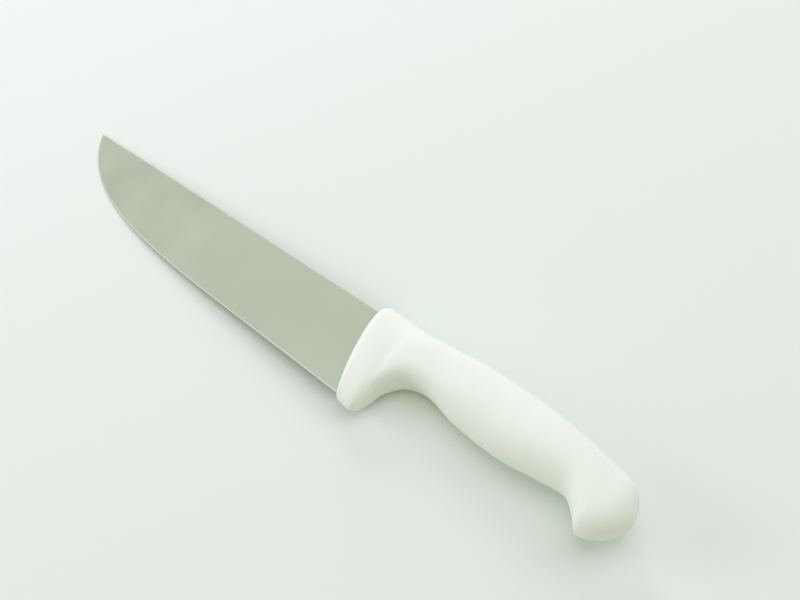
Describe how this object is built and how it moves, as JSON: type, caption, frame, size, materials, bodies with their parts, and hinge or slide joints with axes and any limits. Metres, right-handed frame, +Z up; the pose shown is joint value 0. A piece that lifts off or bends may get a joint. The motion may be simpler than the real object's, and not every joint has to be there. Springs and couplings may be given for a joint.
{
  "type": "butcher knife",
  "caption": "Butcher knife with a wide flat-ground steel blade whose edge sweeps up to the tip, and a white moulded handle with a finger guard and a hooked pommel.",
  "frame": {"origin": "middle of the bounding box's underside, on the table that the knife lies on", "axes": "+X from the tip to the pommel, +Y towards the spine, +Z up from the table; the knife lies on its side as it comes to rest"},
  "size_m": [0.3072, 0.0456, 0.0245],
  "materials": {
    "steel": "satin, ground flat, with a bright honed bevel",
    "polypropylene": "white, satin, as moulded"
  },
  "bodies": {
    "root": {"blade": "steel", "handle": "polypropylene"}
  },
  "joints": []
}
